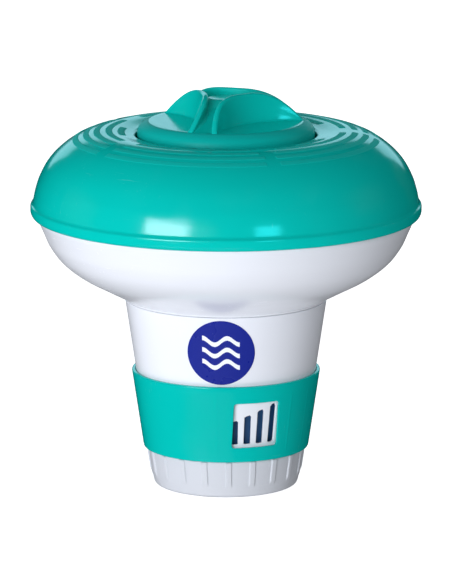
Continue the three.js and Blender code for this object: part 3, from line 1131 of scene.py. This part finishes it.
class DISPENSER_OT_finishes(DispenserOperator, bpy.types.Operator):
    """Make the plastics, the rubber and the steel"""

    bl_idname = "dispenser.finishes"
    bl_label = "Finishes"

    def make(self, sizes, colours):
        make_finishes(colours)


class DISPENSER_OT_float(DispenserOperator, bpy.types.Operator):
    """Make the float: top shell with its matt strips, bowl and throat tube"""

    bl_idname = "dispenser.float"
    bl_label = "Float"

    def make(self, sizes, colours):
        top = float_top_mesh()
        add_strips(top)
        piece("float_top", top, ["teal", "strip"], "root", "top_float_shell")
        piece("float_bowl", bowl_mesh(), ["white"], "root", "bottom_float_shell")
        piece("throat", throat_mesh(), ["white"], "root", "throat_tube")


class DISPENSER_OT_neck(DispenserOperator, bpy.types.Operator):
    """Make the tapered neck with its graded slots"""

    bl_idname = "dispenser.neck"
    bl_label = "Dosing neck"

    def make(self, sizes, colours):
        piece("slotted_neck", neck_mesh(sizes), ["white"], "root", "dosing_neck")


class DISPENSER_OT_collar(DispenserOperator, bpy.types.Operator):
    """Make the collar with its two windows"""

    bl_idname = "dispenser.collar"
    bl_label = "Dosing collar"

    def make(self, sizes, colours):
        mesh = collar_mesh(sizes)
        piece("turning_collar", mesh, ["collar"], "collar", "dosing_collar")


class DISPENSER_OT_base(DispenserOperator, bpy.types.Operator):
    """Make the ribbed base cup"""

    bl_idname = "dispenser.base"
    bl_label = "Base cup"

    def make(self, sizes, colours):
        piece("ribbed_base", base_mesh(sizes), ["base"], "root", "base_cup")


class DISPENSER_OT_basket(DispenserOperator, bpy.types.Operator):
    """Make the tablet basket"""

    bl_idname = "dispenser.basket"
    bl_label = "Tablet basket"

    def make(self, sizes, colours):
        mesh, holes = basket_mesh(), floor_holes()
        piece("basket", mesh, ["navy"], "root", "tablet_basket", punch=holes)


class DISPENSER_OT_cap(DispenserOperator, bpy.types.Operator):
    """Make the cap, its lock ring and its gasket"""

    bl_idname = "dispenser.cap"
    bl_label = "Cap"

    def make(self, sizes, colours):
        mesh, looks = cap_mesh(), ["teal", "satin", "soft"]
        piece("cap", mesh, looks, "cap", "cap_cover", sharp=50)
        piece("lock_ring", lock_ring_mesh(), ["white"], "cap", "cap_lock_ring")
        piece("gasket", gasket_mesh(), ["rubber"], "cap_seal", "cap_gasket")


class DISPENSER_OT_label(DispenserOperator, bpy.types.Operator):
    """Make the round label"""

    bl_idname = "dispenser.label"
    bl_label = "Label"

    def make(self, sizes, colours):
        low, high = span("neck_label")
        height = (low.z + high.z) / 2
        FINISHES["label"] = printed_label(
            "label_vinyl", colours.label, height * MM, LABEL_FACING + math.pi / 2, sizes.label_radius
        )
        mesh = label_mesh(sizes, LABEL_FACING, height)
        piece("round_label", mesh, ["label"], "root", "neck_label")


class DISPENSER_OT_inner(DispenserOperator, bpy.types.Operator):
    """Give the hidden seals and the ballast their finishes"""

    bl_idname = "dispenser.inner"
    bl_label = "Seals and ballast"

    def make(self, sizes, colours):
        finishes = {
            "rim_seal": "rubber", "throat_seal_upper": "rubber", "throat_seal_lower": "rubber",
            "ballast_ring": "steel", "ballast_cover": "white",
        }
        for node, finish in finishes.items():
            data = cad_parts[node].data
            data.materials.clear()
            data.materials.append(FINISHES[finish])


class DISPENSER_PT_panel(bpy.types.Panel):
    """Lists the dispenser's operators, sizes and colours"""

    bl_label = "Chlorine dispenser"
    bl_idname = "DISPENSER_PT_panel"
    bl_space_type = "VIEW_3D"
    bl_region_type = "UI"
    bl_category = "Dispenser"

    def draw(self, context):
        for step in STEPS:
            self.layout.operator(step.bl_idname)
        for group in (context.scene.dispenser_sizes, context.scene.dispenser_colours):
            box = self.layout.box()
            for name in group.__annotations__:
                box.prop(group, name)


# ------------ stage

# Scene units again.
CAMERA_TURN = math.radians(-20)
CAMERA_TILT = math.radians(11.76)
CAMERA_DISTANCE, CAMERA_HEIGHT = 2.88, 0.702


def in_front(turn, distance, z):
    """A spot at a distance from the upright axis, turned right from straight in front."""
    return polar(distance, turn - math.pi / 2, z)


def add_camera():
    data = bpy.data.cameras.new("camera")
    data.lens, data.sensor_width = 345.0, 36.0
    camera = add_object("camera", data)
    camera.location = in_front(CAMERA_TURN, CAMERA_DISTANCE, CAMERA_HEIGHT)
    camera.rotation_euler = (math.pi / 2 - CAMERA_TILT, 0, CAMERA_TURN)
    bpy.context.scene.camera = camera


def add_floor():
    """A white sheet that casts nothing back, just below the feet."""
    mesh = bmesh.new()
    bmesh.ops.create_circle(mesh, cap_ends=True, segments=128, radius=14.0)
    data = bpy.data.meshes.new("floor")
    mesh.to_mesh(data)
    mesh.free()
    graph = Graph("floor_paper")
    data.materials.append(graph.shade(
        base_color=(0.85, 0.85, 0.86, 1), roughness=0.9,
        emission_color=(1, 1, 1, 1), emission_strength=0.75,
    ))
    floor = add_object("floor", data)
    floor.location.z = -0.0002
    floor.visible_diffuse = False
    floor.visible_glossy = False
    floor.visible_shadow = False


SOFT, SHINE = "soft", "shine"
LAMPS = [
    # Name, kind, degrees right of the camera, elevation, distance, width, height, watts, colour.
    ("key", SOFT, -22, 8, 2.6, 1.3, 1.0, 45, (0.97, 1.0, 1.05)),
    ("left", SOFT, -100, 12, 2.6, 1.3, 1.0, 17, (0.97, 1.0, 1.05)),
    ("right", SOFT, 100, 20, 2.6, 1.3, 1.0, 6, (0.95, 1.0, 1.1)),
    ("bounce", SOFT, -24, -50, 2.6, 2.6, 1.9, 32, (0.98, 1.0, 1.04)),
    ("back", SOFT, 155, 6, 2.6, 1.3, 1.0, 30, (1.0, 1.0, 1.0)),
    ("back_bounce", SOFT, 175, -42, 2.6, 1.6, 1.2, 14, (1.0, 1.0, 1.0)),
    ("left_window", SHINE, -35, 11, 2.5, 1.15, 0.66, 28, (0.85, 1.0, 1.15)),
    ("right_window", SHINE, 24.4, 10.5, 2.5, 0.61, 0.50, 8, (0.06, 1.0, 1.2)),
    ("far_wall", SHINE, 180, 12, 3.2, 3.0, 0.85, 10, (0.5, 0.95, 1.1)),
]


def add_lights():
    """Soft lamps light the surfaces, and shine lamps only show as reflections."""
    aim = Vector((0, 0, 0.12))
    for name, kind, turn, rise, distance, width, height, power, colour in LAMPS:
        data = bpy.data.lights.new(name, "AREA")
        data.shape = "RECTANGLE"
        data.size, data.size_y = width, height
        data.energy, data.color = power, colour
        lamp = add_object(name, data)
        turn, rise = CAMERA_TURN + math.radians(turn), math.radians(rise)
        away = in_front(turn, distance * math.cos(rise), distance * math.sin(rise))
        lamp.location = aim + Vector(away)
        lamp.rotation_euler = (aim - lamp.location).to_track_quat("-Z", "Y").to_euler()
        lamp.visible_glossy = kind == SHINE
        lamp.visible_diffuse = kind == SOFT


def add_sky():
    world = bpy.data.worlds.new("white_room")
    world.use_nodes = True
    background = world.node_tree.nodes["Background"]
    background.inputs["Color"].default_value = (1, 1, 1, 1)
    background.inputs["Strength"].default_value = 0.3
    bpy.context.scene.world = world
    world.cycles_visibility.glossy = False
    bpy.context.scene.view_settings.view_transform = "Standard"


# ------------ the whole dispenser

STEPS = [
    DISPENSER_OT_stage, DISPENSER_OT_finishes, DISPENSER_OT_float, DISPENSER_OT_neck,
    DISPENSER_OT_collar, DISPENSER_OT_base, DISPENSER_OT_basket, DISPENSER_OT_cap,
    DISPENSER_OT_label, DISPENSER_OT_inner,
]
CLASSES = [DispenserSizes, DispenserColours, *STEPS, DISPENSER_PT_panel]


def register():
    for cls in CLASSES:
        bpy.utils.register_class(cls)
    bpy.types.Scene.dispenser_sizes = PointerProperty(type=DispenserSizes)
    bpy.types.Scene.dispenser_colours = PointerProperty(type=DispenserColours)


def unregister():
    del bpy.types.Scene.dispenser_colours
    del bpy.types.Scene.dispenser_sizes
    for cls in reversed(CLASSES):
        bpy.utils.unregister_class(cls)


def main():
    register()
    for step in STEPS:
        group, name = step.bl_idname.split(".")
        getattr(getattr(bpy.ops, group), name)()


if __name__ == "__main__":
    main()
